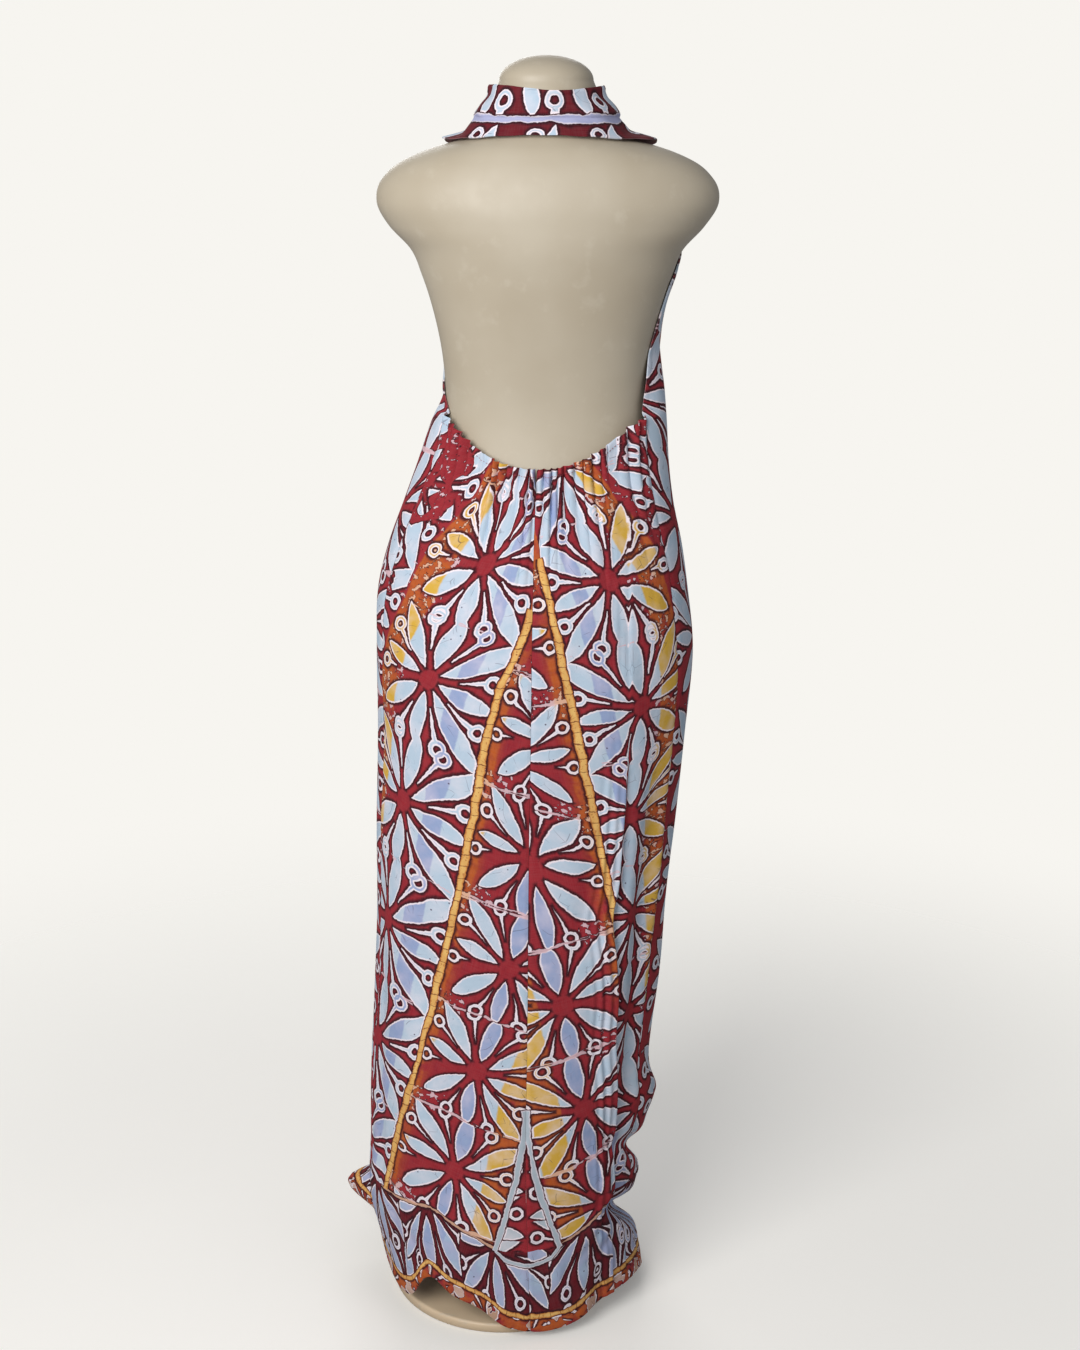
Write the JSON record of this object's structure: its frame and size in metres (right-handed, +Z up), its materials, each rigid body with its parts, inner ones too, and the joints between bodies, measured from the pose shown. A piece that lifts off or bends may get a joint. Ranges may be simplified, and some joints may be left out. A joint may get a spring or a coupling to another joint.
{
  "type": "halter maxi dress on a dress form",
  "caption": "Long halter dress of stamped batik cotton, open to a low gathered back, with a folded collar, worn on a limbless dress form on a round base.",
  "frame": {"origin": "centre of the base plate's underside", "axes": "+Z up along the pole to the neck cap; -Y towards the wearer's front, +X towards the wearer's left"},
  "size_m": [0.4632, 0.3438, 1.54],
  "materials": {
    "batik_cotton": "matt printed cotton with wax-resist flowers, stripes and fine crackle lines",
    "form_shell": "semi-gloss beige shell, faintly mottled",
    "pole_metal": "satin",
    "base_paint": "satin beige paint with light scuffs"
  },
  "bodies": {
    "root": {"front_panel": "batik_cotton", "back_left_panel": "batik_cotton", "back_right_panel": "batik_cotton", "neck_collar": "batik_cotton", "dress_form": "form_shell", "pole": "pole_metal", "base_plate": "base_paint"}
  },
  "joints": []
}
